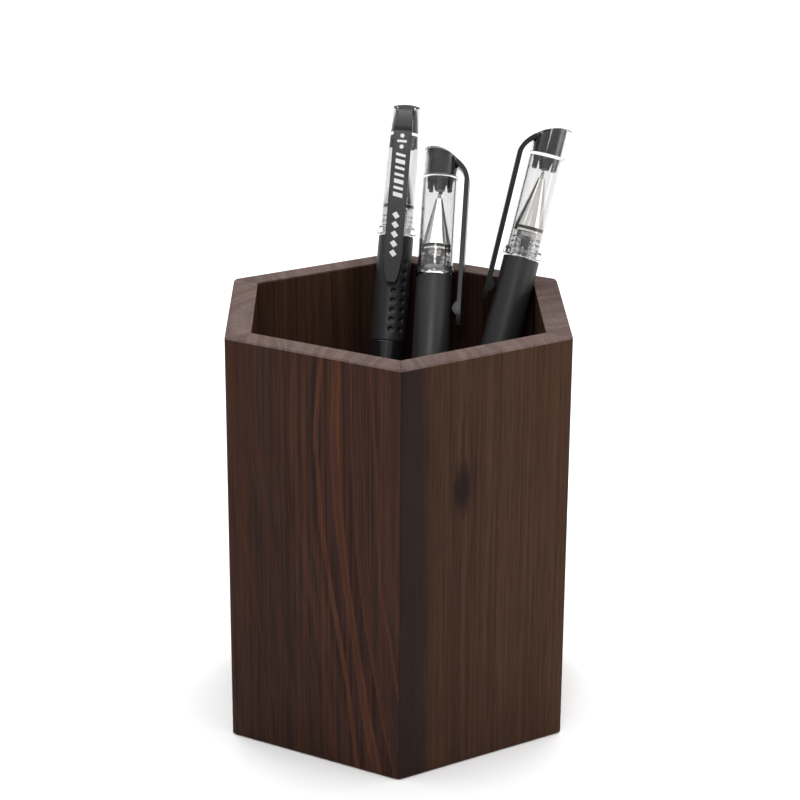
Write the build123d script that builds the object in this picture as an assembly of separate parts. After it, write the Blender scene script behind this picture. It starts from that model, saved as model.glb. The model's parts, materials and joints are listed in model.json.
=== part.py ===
from build123d import *
from math import cos, radians, sin, sqrt
import os

# Desk organizer: a hexagonal wooden pen cup with three capped gel pens standing in it.
# Millimetres, +Z up. The origin is the middle of the cup's underside, and one corner
# of the hexagon points along -Y, to the front.

# Cup
CUP_SIDE = 48.5              # side of the hexagon, which is also its corner radius
CUP_HEIGHT = 107.0
CUP_WALL = 6.3
CORNER_ROUND = 1.6           # rounding of the six upright outer edges
RIM_EASE = 0.4               # sanded chamfer round the rim and the foot
FLOOR_THICKNESS = 7.0
FLOOR_REBATE = 3.0           # depth of the rebate in the staves that holds the floor

# Pen, all heights from its foot
PEN_LENGTH = 149.0           # capped, foot to the top of the cap
CAP_LENGTH = 34.4            # lip of the cap to its top
BARREL_BORE = 6.9
BARREL_WALL = 1.1
GRIP_SEAT_WALL = 0.35        # what is left of the barrel's wall under the grip
GRIP_WALL = 0.86
GRIP_LENGTH = 28.0
END_PLUG_HEAD = 1.6
END_PLUG_ROUND = 0.96
END_PLUG_SPIGOT = 6.8
SECTION_SHOULDER = 0.2       # how far the clear section's shoulder overhangs the bore
SECTION_HEIGHT = 6.8         # how far it stands above the grip
SECTION_SPIGOT = 8.0
THREAD_PITCH = 1.3
THREAD_DEPTH = 0.2
REFILL_DIAMETER = 5.2
REFILL_WALL = 0.6
REFILL_NECK = 3.4
REFILL_NECK_LENGTH = 12.0
REFILL_ROOM = 4.8            # the section's wide bore ends this far below the cone's spigot
GREASE_START = 15.0
INK_START = 21.0
CONE_WALL = 0.45             # of the cone's spigot
CONE_SPIGOT_LENGTH = 1.2
CONE_FLANGE_THICKNESS = 0.6
NECK_STEP = 0.35             # how much wider than the spigot the neck is, all round
NECK_LENGTH = 0.8
NECK_RING_STEP = 0.15        # how far the ring round the neck lies inside the cone's edge
CONE_BASE = 7.7
CONE_LENGTH = 13.0
CONE_NOSE = 1.9
TIP_OUT = 1.6                # how far the writing tip stands out of the cone
TIP_STEM = 3.0               # how deep it is pressed into the refill
TIP_COLLAR = 0.7
TIP_NEEDLE = 2.0             # length of its thin end inside the cone
TIP_DIAMETER = 0.9
BALL_DIAMETER = 0.5

# Cap, all heights from its lip
CAP_SKIRT_WALL = 0.75
CAP_LIP_FLARE = 0.5          # how far the lip stands out, all round
CAP_LIP_HEIGHT = 1.1
CAP_SKIRT_DEPTH = 8.4
CAP_SKIRT_TAPER = 0.6
WEB_HEIGHT = 26.3            # underside of the clear web that parts the bore from the plug
WEB_THICKNESS = 0.8
SEAL_DIAMETER = 6.8
SEAL_LENGTH = 3.1
SEAL_DISC = 0.8              # thickness of the seal's disc
SEAL_BOSS = 3.6              # diameter of its boss at the disc
SEAL_FINGERS = 6
FINGER_WIDTH = 1.1
FINGER_DEPTH = 0.8
FINGER_INSET = 0.1           # how far the fingers stand inside the disc's edge
CLIP_PLUG_DIAMETER = 6.9     # of the plug in the cap's top
CLIP_THICKNESS = 1.25
CLIP_WIDTH = 4.8
CLIP_STAND = 1.8             # room between the cap's tube and the clip, at its shoulder
CLIP_CLOSE = 0.25            # how much nearer the pen the clip's free end stands
CLIP_TAIL = 13.3             # how far the clip hangs below the lip
CLIP_SHOULDER = 26.2
CLIP_POINT = 6.0             # length over which its end narrows to half its width
CLIP_BUMP = 1.2              # how far the bump stands in from the clip
CLIP_BUMP_START = 2.4        # above the clip's end
CLIP_BUMP_LENGTH = 4.0

# Clearances
REST_GAP = 0.3               # between pieces that only rest on each other
FIT = 0.04                   # radial, between pieces that are pressed or screwed together
INK_FIT = 0.02
BORE_PLAY = 0.1              # radial, round the refill's neck and round the writing tip
THREAD_PLAY = 0.1            # radial, between the thread and the cap's skirt
CONE_PLAY = 0.1              # radial, between the cone and the cap

# Where the pens stand. The foot is where the axis meets the floor, from the cup's middle.
LEFT_FOOT = (-9.4, -6.0)
MIDDLE_FOOT_X = 2.6
MIDDLE_FOOT_ROOM = 1.05      # between its barrel and the cup's inner front corner
RIGHT_FOOT_STEP = (0.132, 1.992)         # from the middle pen's foot, in barrel diameters
MIDDLE_RIM_ROOM = 1.15       # between the left and the middle pen at the rim, across
MIDDLE_RIM_FORWARD = 9.2     # how far the middle pen's axis lies in front of the left one's there
LEFT_RIM_OFFSET = -0.3                   # of the left pen's axis from the back corner
LEFT_CLIP_TURN = -96.0                   # the way each clip points, in plan
MIDDLE_CLIP_TURN = -8.0
RIGHT_CLIP_TURN = 180.0

STAVE_TURNS = {"front_right": -60, "right": 0, "back_right": 60,
               "back_left": 120, "left": 180, "front_left": 240}

# Cup sizes that follow
apothem = CUP_SIDE * cos(radians(30))
inner_apothem = apothem - CUP_WALL
inner_corner = inner_apothem / cos(radians(30))

# Pen sizes that follow
barrel_diameter = BARREL_BORE + 2 * BARREL_WALL
grip_seat = BARREL_BORE + 2 * GRIP_SEAT_WALL
grip_diameter = grip_seat + 2 * (FIT + GRIP_WALL)
section_diameter = BARREL_BORE + 2 * SECTION_SHOULDER
thread_diameter = section_diameter + 2 * THREAD_DEPTH
cone_bore = REFILL_NECK + 2 * BORE_PLAY
cone_spigot = cone_bore + 2 * CONE_WALL
neck_diameter = cone_spigot + 2 * NECK_STEP
cap_bore = CONE_BASE + 2 * CONE_PLAY
skirt_bore = max(thread_diameter, CONE_BASE) + 2 * THREAD_PLAY
cap_diameter = skirt_bore + 2 * CAP_SKIRT_WALL
clip_reach = cap_diameter / 2 + CLIP_STAND + CLIP_THICKNESS

lip = PEN_LENGTH - CAP_LENGTH
grip_top = lip - REST_GAP
grip_foot = grip_top - GRIP_LENGTH
section_top = grip_top + SECTION_HEIGHT
flange_top = section_top + CONE_FLANGE_THICKNESS
cone_base = flange_top + NECK_LENGTH
cone_top = cone_base + CONE_LENGTH
neck_foot = section_top - CONE_SPIGOT_LENGTH - REFILL_ROOM
tip_foot = neck_foot + REFILL_NECK_LENGTH


def turned(*outline):
    """A solid turned about Z from an outline of (diameter, height) pairs."""
    points = [(diameter / 2, 0, height) for diameter, height in outline]
    return revolve(make_face(Polyline(*points, close=True)), Axis.Z)


def hexagon(flat_distance, bottom, top):
    """A hexagonal prism with a corner at the front, from its centre-to-flat distance."""
    outline = RegularPolygon(flat_distance / cos(radians(30)), 6, rotation=30)
    return Pos(0, 0, bottom) * extrude(outline, top - bottom)


def cup_ring():
    """The six walls in one, before they are parted at the mitres."""
    ring = hexagon(apothem, 0, CUP_HEIGHT)
    ring = fillet(ring.edges().filter_by(Axis.Z), CORNER_ROUND)
    ring = chamfer(ring.faces().sort_by(Axis.Z)[-1].edges(), RIM_EASE)
    ring = chamfer(ring.faces().sort_by(Axis.Z)[0].edges(), RIM_EASE)
    ring -= hexagon(inner_apothem, 0, CUP_HEIGHT)
    ring -= hexagon(inner_apothem + FLOOR_REBATE, 0, FLOOR_THICKNESS)
    return ring


def staves():
    ring = cup_ring()
    reach = 2 * CUP_SIDE
    parted = {}
    for side, turn in STAVE_TURNS.items():
        arms = [(reach * cos(radians(turn + half)), reach * sin(radians(turn + half)))
                for half in (-30, 30)]
        wedge = extrude(make_face(Polyline((0, 0), *arms, close=True)), CUP_HEIGHT)
        parted["stave_" + side] = ring & wedge
    return parted


def barrel():
    return turned((BARREL_BORE, END_PLUG_HEAD), (barrel_diameter, END_PLUG_HEAD),
                  (barrel_diameter, grip_foot), (grip_seat, grip_foot),
                  (grip_seat, grip_top), (BARREL_BORE, grip_top))


def end_plug():
    spigot = BARREL_BORE - 2 * FIT
    inside = REFILL_DIAMETER + 4 * FIT
    top = END_PLUG_HEAD + END_PLUG_SPIGOT
    plug = turned((0, 0), (barrel_diameter, 0), (barrel_diameter, END_PLUG_HEAD),
                  (spigot, END_PLUG_HEAD), (spigot, top), (inside, top),
                  (inside, END_PLUG_HEAD), (0, END_PLUG_HEAD))
    return fillet(plug.faces().sort_by(Axis.Z)[0].edges(), END_PLUG_ROUND)


def grip():
    inside = grip_seat + 2 * FIT
    return turned((inside, grip_foot), (grip_diameter, grip_foot),
                  (grip_diameter, grip_top), (inside, grip_top))


def section():
    """The clear threaded piece that screws into the barrel and holds the cone."""
    spigot = BARREL_BORE - 2 * FIT
    refill_room = REFILL_DIAMETER + 4 * FIT
    cone_room = cone_spigot + 2 * FIT
    foot = grip_top - SECTION_SPIGOT
    piece = turned((refill_room, foot), (spigot, foot), (spigot, grip_top),
                   (section_diameter, grip_top), (section_diameter, section_top),
                   (cone_room, section_top), (cone_room, neck_foot), (refill_room, neck_foot))
    ridge_count = int(SECTION_HEIGHT / THREAD_PITCH) - 1
    for step in range(ridge_count):
        middle = grip_top + (step + 1) * THREAD_PITCH
        half = THREAD_PITCH / 4
        root = section_diameter - THREAD_DEPTH
        piece += turned((root, middle - half), (thread_diameter, middle),
                        (root, middle + half))
    return piece


def nose_cone():
    """Chromed cone with a flange that sits on the section and a neck under the cone."""
    foot = section_top - CONE_SPIGOT_LENGTH
    nose_bore = TIP_DIAMETER + 4 * BORE_PLAY
    return turned((cone_bore, foot), (cone_spigot, foot), (cone_spigot, section_top),
                  (CONE_BASE, section_top), (CONE_BASE, flange_top),
                  (neck_diameter, flange_top), (neck_diameter, cone_base),
                  (CONE_BASE, cone_base), (CONE_NOSE, cone_top), (nose_bore, cone_top),
                  (cone_bore, tip_foot + TIP_COLLAR + BORE_PLAY))


def neck_ring():
    inside = neck_diameter + 2 * FIT
    outside = CONE_BASE - 2 * NECK_RING_STEP
    return turned((inside, flange_top), (outside, flange_top),
                  (outside, cone_base), (inside, cone_base))


def refill_tube():
    bore = REFILL_DIAMETER - 2 * REFILL_WALL
    neck_bore = REFILL_NECK - 2 * REFILL_WALL
    foot = END_PLUG_HEAD + REST_GAP
    shoulder = neck_foot - (REFILL_DIAMETER - REFILL_NECK)
    return turned((bore, foot), (REFILL_DIAMETER, foot), (REFILL_DIAMETER, shoulder),
                  (REFILL_NECK, neck_foot), (REFILL_NECK, tip_foot), (neck_bore, tip_foot),
                  (neck_bore, neck_foot), (bore, shoulder))


def grease():
    bore = REFILL_DIAMETER - 2 * REFILL_WALL - 2 * INK_FIT
    return turned((0, GREASE_START), (bore, GREASE_START), (bore, INK_START), (0, INK_START))


def ink():
    bore = REFILL_DIAMETER - 2 * REFILL_WALL - 2 * INK_FIT
    neck_bore = REFILL_NECK - 2 * REFILL_WALL - 2 * INK_FIT
    shoulder = neck_foot - (REFILL_DIAMETER - REFILL_NECK)
    top = tip_foot - TIP_STEM
    return turned((0, INK_START), (bore, INK_START), (bore, shoulder),
                  (neck_bore, neck_foot), (neck_bore, top), (0, top))


def tip():
    stem = REFILL_NECK - 2 * REFILL_WALL - 2 * INK_FIT
    collar_top = tip_foot + TIP_COLLAR
    end = cone_top + TIP_OUT
    holder = turned((0, tip_foot - TIP_STEM), (stem, tip_foot - TIP_STEM), (stem, tip_foot),
                    (REFILL_NECK - 0.5, tip_foot), (REFILL_NECK - 0.5, collar_top),
                    (TIP_DIAMETER, cone_top - TIP_NEEDLE), (TIP_DIAMETER, end - 0.4),
                    (BALL_DIAMETER + 0.12, end), (0, end))
    return holder - Pos(0, 0, end) * Sphere(BALL_DIAMETER / 2 + 0.01)


def ball():
    return Pos(0, 0, cone_top + TIP_OUT) * Sphere(BALL_DIAMETER / 2)


def under_outline(drop):
    """Everything in the cap's width that lies at least drop below the curve over its top."""
    far = cap_diameter / 2 + 0.1
    foot = lip - CLIP_TAIL
    reach = clip_reach - drop
    start = (-far, 0, PEN_LENGTH - drop)
    crown = (1.6 - 0.25 * drop, 0, PEN_LENGTH - 1.1 - 0.95 * drop)
    turn = (0.78 * clip_reach - 0.65 * drop, 0, lip + CLIP_SHOULDER + 3.9 - 0.75 * drop)
    end = (reach, 0, lip + CLIP_SHOULDER)
    curve = Spline(start, crown, turn, end, tangents=((1, 0, 0.08), (0.02, 0, -1)))
    side = Polyline(end, (reach, 0, foot), (-far, 0, foot), start)
    face = Face(Wire([*curve.edges(), *side.edges()]))
    return extrude(face, cap_diameter, dir=(0, 1, 0), both=True)


def strap():
    """The band that runs from the plug over the tube's wall to the clip's shoulder."""
    band = under_outline(0) - under_outline(CLIP_THICKNESS)
    window = Pos(clip_reach / 2, 0, lip + CLIP_SHOULDER + CAP_LENGTH / 2)
    return band & window * Box(clip_reach, CLIP_WIDTH, CAP_LENGTH)


def clip_arm():
    """The clip below its shoulder, with the bump that grips cloth and a rounded end."""
    top = lip + CLIP_SHOULDER
    foot = lip - CLIP_TAIL
    outer = clip_reach - CLIP_CLOSE
    inner = clip_reach - CLIP_THICKNESS
    bump_low = foot + CLIP_BUMP_START
    bump_high = bump_low + CLIP_BUMP_LENGTH
    bump_line = inner - CLIP_CLOSE
    sides = Polyline((bump_line, 0, bump_high), (inner, 0, top),
                     (clip_reach, 0, top), (outer, 0, foot), (bump_line, 0, foot),
                     (bump_line, 0, bump_low))
    bump = ThreePointArc((bump_line, 0, bump_low),
                         (bump_line - CLIP_BUMP, 0, (bump_low + bump_high) / 2),
                         (bump_line, 0, bump_high))
    arm = extrude(Face(Wire([*sides.edges(), *bump.edges()])), CLIP_WIDTH / 2, dir=(0, 1, 0),
                  both=True)
    half = CLIP_WIDTH / 2
    front = make_face(Polyline((0, -half, top), (0, -half, foot + CLIP_POINT),
                               (0, -half / 2, foot), (0, half / 2, foot),
                               (0, half, foot + CLIP_POINT), (0, half, top), close=True))
    return arm & extrude(front, 2 * clip_reach, dir=(1, 0, 0), both=True)


def clip():
    """One black moulding: the plug in the cap's top, the strap and the clip."""
    bottom = lip + WEB_HEIGHT + WEB_THICKNESS
    body = turned((0, bottom), (CLIP_PLUG_DIAMETER, bottom), (CLIP_PLUG_DIAMETER, PEN_LENGTH),
                  (0, PEN_LENGTH))
    return (body & under_outline(0)) + strap() + clip_arm()


def cap_tube():
    """The clear cap: flared lip, skirt over the section, web, and a slanted top."""
    skirt_top = lip + CAP_SKIRT_DEPTH
    web = lip + WEB_HEIGHT
    web_top = web + WEB_THICKNESS
    flare = cap_diameter + 2 * CAP_LIP_FLARE
    plug_bore = CLIP_PLUG_DIAMETER + 2 * FIT
    tube = turned((skirt_bore, lip), (flare, lip), (flare, lip + CAP_LIP_HEIGHT),
                  (cap_diameter, lip + 1.8 * CAP_LIP_HEIGHT), (cap_diameter, PEN_LENGTH),
                  (plug_bore, PEN_LENGTH), (plug_bore, web_top), (0, web_top), (0, web),
                  (cap_bore, web), (cap_bore, skirt_top + CAP_SKIRT_TAPER),
                  (skirt_bore, skirt_top))
    slot = Pos(clip_reach / 2, 0, lip + CLIP_SHOULDER + CAP_LENGTH / 2)
    slot *= Box(clip_reach, CLIP_WIDTH + 2 * FIT, CAP_LENGTH)
    slot -= under_outline(CLIP_THICKNESS + FIT)
    return (tube & under_outline(0)) - slot


def tip_seal():
    """Black liner under the web: a disc, a boss that shields the ball, and fingers."""
    top = lip + WEB_HEIGHT
    disc_foot = top - SEAL_DISC
    seal = turned((0, top - SEAL_LENGTH), (0.7 * SEAL_BOSS, top - SEAL_LENGTH),
                  (SEAL_BOSS, disc_foot), (SEAL_DIAMETER, disc_foot), (SEAL_DIAMETER, top),
                  (0, top))
    finger = Box(FINGER_DEPTH, FINGER_WIDTH, SEAL_LENGTH)
    reach = SEAL_DIAMETER / 2 - FINGER_INSET - FINGER_DEPTH / 2
    finger = Pos(reach, 0, top - SEAL_LENGTH / 2) * finger
    for step in range(SEAL_FINGERS):
        seal += Rot(0, 0, step * 360 / SEAL_FINGERS + 30) * finger
    return seal


PEN_PIECES = {"barrel": barrel, "end_plug": end_plug, "grip": grip, "section": section,
              "nose_cone": nose_cone, "neck_ring": neck_ring, "refill_tube": refill_tube,
              "grease": grease, "ink": ink, "tip": tip, "ball": ball,
              "cap_tube": cap_tube, "clip": clip, "tip_seal": tip_seal}


def lean_gap(foot, rim, turn, radius):
    """How far an axis stays from a wall so that the pen just clears the wall's edge."""
    away = ((rim[0] - foot[0]) * cos(radians(turn)) + (rim[1] - foot[1]) * sin(radians(turn)))
    slope = away / (CUP_HEIGHT - FLOOR_THICKNESS)
    return (radius + REST_GAP) * sqrt(1 + slope ** 2)


def back_corner_rim(foot, offset_x):
    """Where an axis crosses the rim's height when the pen lies in the back corner."""
    radius = grip_diameter / 2
    rim = (offset_x, inner_corner - radius)
    for _ in range(4):
        gap = lean_gap(foot, rim, 120, radius)
        reach = inner_apothem - gap
        rim = (offset_x, (reach - abs(offset_x) * cos(radians(60))) / sin(radians(60)))
    return rim


def right_corner_rim(foot):
    """The same for the corner between the right and the back right wall."""
    radius = grip_diameter / 2
    rim = (inner_apothem - radius, 0.5 * inner_apothem)
    for _ in range(4):
        x = inner_apothem - lean_gap(foot, rim, 0, radius)
        reach = inner_apothem - lean_gap(foot, rim, 60, radius)
        rim = (x, (reach - x * cos(radians(60))) / sin(radians(60)))
    return rim


def pen_location(foot, rim, clip_turn):
    """The pen's own frame in the cup: Z along the pen, X towards its clip."""
    along = Vector(rim[0] - foot[0], rim[1] - foot[1], CUP_HEIGHT - FLOOR_THICKNESS)
    along = along.normalized()
    lift = barrel_diameter / 2 * sqrt(1 - along.Z ** 2) + REST_GAP
    start = Vector(foot[0], foot[1], FLOOR_THICKNESS) + along * (lift / along.Z)
    towards = Vector(cos(radians(clip_turn)), sin(radians(clip_turn)), 0)
    towards = towards - along * towards.dot(along)
    return Location(Plane(origin=start, x_dir=towards, z_dir=along))


left_rim = back_corner_rim(LEFT_FOOT, LEFT_RIM_OFFSET)
middle_rim = (left_rim[0] + cap_diameter + MIDDLE_RIM_ROOM, left_rim[1] - MIDDLE_RIM_FORWARD)
middle_foot = (MIDDLE_FOOT_X, barrel_diameter / 2 + MIDDLE_FOOT_ROOM - inner_corner)
right_foot = (middle_foot[0] + barrel_diameter * RIGHT_FOOT_STEP[0],
              middle_foot[1] + barrel_diameter * RIGHT_FOOT_STEP[1])
PENS = {"left": pen_location(LEFT_FOOT, left_rim, LEFT_CLIP_TURN),
        "middle": pen_location(middle_foot, middle_rim, MIDDLE_CLIP_TURN),
        "right": pen_location(right_foot, right_corner_rim(right_foot), RIGHT_CLIP_TURN)}

model = staves()
model["floor_panel"] = hexagon(inner_apothem + FLOOR_REBATE, 0, FLOOR_THICKNESS)
pieces = {name: make() for name, make in PEN_PIECES.items()}
for side, place in PENS.items():
    for name, piece in pieces.items():
        model[side + "_" + name] = place * piece

os.makedirs("parts", exist_ok=True)
for name, piece in model.items():
    export_step(piece, "parts/" + name + ".step")

# Each pen's foot and axis, which its two slides follow.
for side, place in PENS.items():
    frame = Plane(place)
    print(side, "foot", frame.origin, "axis", frame.z_dir)
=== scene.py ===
import json
from math import atan2, cos, pi, radians, sin

import bpy
from mathutils import Matrix, Vector


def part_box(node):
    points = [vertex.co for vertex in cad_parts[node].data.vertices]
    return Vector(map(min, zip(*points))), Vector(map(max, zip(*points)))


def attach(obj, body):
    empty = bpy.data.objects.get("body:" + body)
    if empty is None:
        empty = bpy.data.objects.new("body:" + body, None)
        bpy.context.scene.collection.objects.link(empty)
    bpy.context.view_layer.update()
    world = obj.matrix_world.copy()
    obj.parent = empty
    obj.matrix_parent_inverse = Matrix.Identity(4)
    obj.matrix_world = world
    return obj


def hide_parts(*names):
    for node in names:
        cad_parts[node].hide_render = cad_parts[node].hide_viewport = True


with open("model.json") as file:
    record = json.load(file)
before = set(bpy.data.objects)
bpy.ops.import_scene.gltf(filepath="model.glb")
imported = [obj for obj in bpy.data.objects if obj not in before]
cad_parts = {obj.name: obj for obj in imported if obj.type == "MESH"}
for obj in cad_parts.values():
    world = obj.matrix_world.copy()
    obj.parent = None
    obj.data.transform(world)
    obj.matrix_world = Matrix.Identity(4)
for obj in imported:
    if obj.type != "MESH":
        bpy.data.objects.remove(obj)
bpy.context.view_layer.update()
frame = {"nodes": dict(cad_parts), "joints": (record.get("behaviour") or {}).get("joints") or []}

scene = bpy.context.scene

# ---------------------------------------------------------------- The room
# A pale sheet under the cup, one large soft lamp overhead and two smaller soft ones at the
# front, and a long lens that looks down on the rim. None of it is part of the organizer.

EYE = Vector((-0.01067, -0.54417, 0.28052))
LOOK_TURN, LOOK_DOWN, LOOK_ROLL = radians(-1.21), radians(20.02), radians(0.33)

camera = bpy.data.objects.new("camera", bpy.data.cameras.new("camera"))
camera.data.lens = 102.6
camera.data.sensor_width = 36.0
camera.data.clip_start = 0.01
camera.matrix_world = (Matrix.Translation(EYE) @ Matrix.Rotation(LOOK_TURN, 4, "Z")
                       @ Matrix.Rotation(pi / 2 - LOOK_DOWN, 4, "X")
                       @ Matrix.Rotation(LOOK_ROLL, 4, "Z"))
scene.collection.objects.link(camera)
scene.camera = camera
scene.view_settings.view_transform = "Standard"
scene.view_settings.look = "None"


def add(tree, kind, inputs=None, **settings):
    """Adds a shader node. Its inputs are plain values or other nodes' outputs."""
    node = tree.nodes.new("ShaderNode" + kind)
    for name, value in settings.items():
        setattr(node, name, value)
    for socket, value in (inputs or {}).items():
        if isinstance(value, bpy.types.NodeSocket):
            tree.links.new(value, node.inputs[socket])
        else:
            node.inputs[socket].default_value = value
    return node


def soft_lamp(name, place, aim, width, height, power, tint=(1.0, 1.0, 1.0)):
    lamp = bpy.data.objects.new(name, bpy.data.lights.new(name, "AREA"))
    lamp.data.shape = "RECTANGLE"
    lamp.data.size, lamp.data.size_y = width, height
    lamp.data.energy = power
    lamp.data.color = tint
    turn = (Vector(aim) - Vector(place)).to_track_quat("-Z", "Y")
    lamp.matrix_world = Matrix.Translation(place) @ turn.to_matrix().to_4x4()
    scene.collection.objects.link(lamp)


soft_lamp("overhead", (0.0, 0.55, 1.70), (0, 0.45, 0), 2.60, 2.40, 52.0)
soft_lamp("front", (-0.09, -0.64, 0.66), (0, 0, 0.10), 0.20, 0.26, 1.5, (0.98, 0.98, 1.0))
soft_lamp("right", (0.75, -0.35, 0.35), (0, 0, 0.07), 0.30, 0.45, 1.2, (1.0, 0.95, 0.90))

world = bpy.data.worlds.new("white_room")
world.use_nodes = True
world.node_tree.nodes.clear()
rays = add(world.node_tree, "LightPath")
seen = add(world.node_tree, "Math", {0: rays.outputs["Is Camera Ray"],
                                     1: rays.outputs["Is Transmission Ray"]},
           operation="MAXIMUM")
ROOM_LIGHT, SEEN_WHITE = 0.42, 1.0
level = add(world.node_tree, "MapRange", {"Value": seen.outputs[0], "To Min": ROOM_LIGHT,
                                          "To Max": SEEN_WHITE})
sky = add(world.node_tree, "Background", {"Color": (1, 1, 1, 1), "Strength": level.outputs[0]})
add(world.node_tree, "OutputWorld", {"Surface": sky.outputs[0]})
scene.world = world

FLOOR_SIDE = 4.0
bpy.ops.object.select_all(action="DESELECT")
bpy.ops.mesh.primitive_plane_add(size=FLOOR_SIDE)
floor_sheet = bpy.context.object
floor_sheet.name = "floor_sheet"
paper = bpy.data.materials.new("pale_floor")
paper.use_nodes = True
paper_shader = paper.node_tree.nodes["Principled BSDF"]
paper_shader.inputs["Roughness"].default_value = 0.9
paper_shader.inputs["Specular IOR Level"].default_value = 0.1
paper_tone = add(paper.node_tree, "TexNoise", {"Scale": 3.0, "Detail": 2.0})
paper_ramp = add(paper.node_tree, "MapRange", {"Value": paper_tone.outputs[0],
                                               "To Min": 0.94, "To Max": 0.96})
paper.node_tree.links.new(paper_ramp.outputs[0], paper_shader.inputs["Base Color"])
floor_sheet.data.materials.append(paper)

# ---------------------------------------------------------------- The staves
# Six boards of dark walnut, mitred at 60 degrees and glued into a hexagonal tube, sanded
# and rubbed with oil. Each is cut from another part of the plank, so each has its own
# figure. The rim shows the end grain, painted paler partly as end grain and partly as
# painted light, the brightness of the rim lit from above.

CUP_HEIGHT, RIM_FROM, FOOT_TO = 0.107, 0.1065, 0.0005
KNOT_HALF_WIDTH, KNOT_HALF_HEIGHT, KNOT_PUSH = 0.0035, 0.0085, 0.0016
KNOT_TONE, STRIP_TONE = (0.0165, 0.0100, 0.0088, 1), (0.0170, 0.0112, 0.0108, 1)
# The end-grain colours are paler partly as end grain and partly as painted light from above on the
# rim.
END_GRAIN_TOPLIT_DARK, END_GRAIN_TOPLIT_LIGHT = (0.098, 0.066, 0.058, 1), (0.150, 0.108, 0.098, 1)
END_GRAIN_TOPLIT_PORE, GLUE_TONE = (0.050, 0.031, 0.027, 1), (0.008, 0.005, 0.004, 1)
HALF_WIDTH, MITRE_COSINE = 0.0235, 0.8660254


def linked(tree, target, value):
    """Sets a socket to a plain value or links another node's output to it."""
    if isinstance(value, bpy.types.NodeSocket):
        tree.links.new(value, target)
    else:
        target.default_value = value


def calc(tree, operation, *values):
    """A sum on values or on other nodes' outputs."""
    node = tree.nodes.new("ShaderNodeMath")
    node.operation = operation
    for index, value in enumerate(values):
        linked(tree, node.inputs[index], value)
    return node.outputs[0]


def spread(tree, value, low, high, to_low=0.0, to_high=1.0):
    """Maps a value from one range to another, smoothly and without leaving it."""
    node = add(tree, "MapRange", interpolation_type="SMOOTHSTEP")
    for index, number in enumerate((value, low, high, to_low, to_high)):
        linked(tree, node.inputs[index], number)
    return node.outputs[0]


def mix(tree, share, first, second, blend="MIX"):
    """Goes from the first colour to the second as the share goes from 0 to 1."""
    node = tree.nodes.new("ShaderNodeMix")
    node.data_type = "RGBA"
    node.blend_type = blend
    linked(tree, node.inputs[0], share)
    linked(tree, node.inputs[6], first)
    linked(tree, node.inputs[7], second)
    return node.outputs[2]


def stretched(tree, vector, scale):
    """The vector scaled on each axis, to pull a pattern out along the grain."""
    node = add(tree, "VectorMath", {0: vector, 1: scale}, operation="MULTIPLY")
    return node.outputs[0]


def noise(tree, vector, detail=2.0, rough=0.5):
    return add(tree, "TexNoise", {"Vector": vector, "Scale": 1.0, "Detail": detail,
                                  "Roughness": rough}).outputs["Fac"]


def new_group(name, inputs, outputs):
    """An empty shader node group with the named inputs and outputs."""
    group = bpy.data.node_groups.new(name, "ShaderNodeTree")
    for label, kind, value in inputs:
        socket = group.interface.new_socket(label, in_out="INPUT",
                                            socket_type="NodeSocket" + kind)
        if value is not None:
            socket.default_value = value
    for label, kind in outputs:
        group.interface.new_socket(label, in_out="OUTPUT", socket_type="NodeSocket" + kind)
    entry, end = group.nodes.new("NodeGroupInput"), group.nodes.new("NodeGroupOutput")
    return group, entry.outputs, end.inputs


# The vector runs through the board (X, from the cup's middle), across it (Y) and up (Z).
walnut, given, out = new_group(
    "walnut",
    [("Vector", "Vector", None), ("Seed", "Float", 0.0), ("Heart Across", "Float", 0.06),
     ("Bend", "Float", 0.01), ("Line Width", "Float", 0.0035), ("Figure", "Float", 0.5),
     ("Figure At", "Float", 0.0), ("Figure Spread", "Float", 0.02),
     ("Dark", "Color", (0.02, 0.01, 0.008, 1)), ("Mid", "Color", (0.04, 0.02, 0.016, 1)),
     ("Light", "Color", (0.07, 0.035, 0.02, 1)), ("Edge Strip", "Float", 0.0),
     ("Knot Across", "Float", 0.0), ("Knot Up", "Float", 0.07), ("Knot", "Float", 0.0)],
    [("Color", "Color"), ("Roughness", "Float"), ("Height", "Float")])
t = walnut
board = add(t, "SeparateXYZ", {0: given["Vector"]}).outputs
seeded = add(t, "VectorMath", {0: given["Vector"],
                               1: add(t, "CombineXYZ", {0: given["Seed"], 1: given["Seed"],
                                                        2: given["Seed"]}).outputs[0]},
             operation="ADD").outputs[0]

# A knot pushes the lines round itself.
knot_y = calc(t, "DIVIDE", calc(t, "SUBTRACT", board[1], given["Knot Across"]),
              KNOT_HALF_WIDTH)
knot_z = calc(t, "DIVIDE", calc(t, "SUBTRACT", board[2], given["Knot Up"]),
              KNOT_HALF_HEIGHT)
knot_far = calc(t, "SQRT", calc(t, "ADD", calc(t, "MULTIPLY", knot_y, knot_y),
                                calc(t, "MULTIPLY", knot_z, knot_z)))
knot_far = calc(t, "ADD", knot_far, calc(t, "MULTIPLY_ADD",
                                         noise(t, stretched(t, seeded, (300, 300, 160)), 3),
                                         0.9, -0.45))
knot_core = calc(t, "MULTIPLY", spread(t, knot_far, 0.15, 1.25, 1.0, 0.0), given["Knot"])
knot_push = calc(t, "MULTIPLY", calc(t, "MULTIPLY", spread(t, knot_far, 0.0, 3.2, 1.0, 0.0),
                                     given["Knot"]), KNOT_PUSH)
knot_side = calc(t, "SIGN", knot_y)

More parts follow.
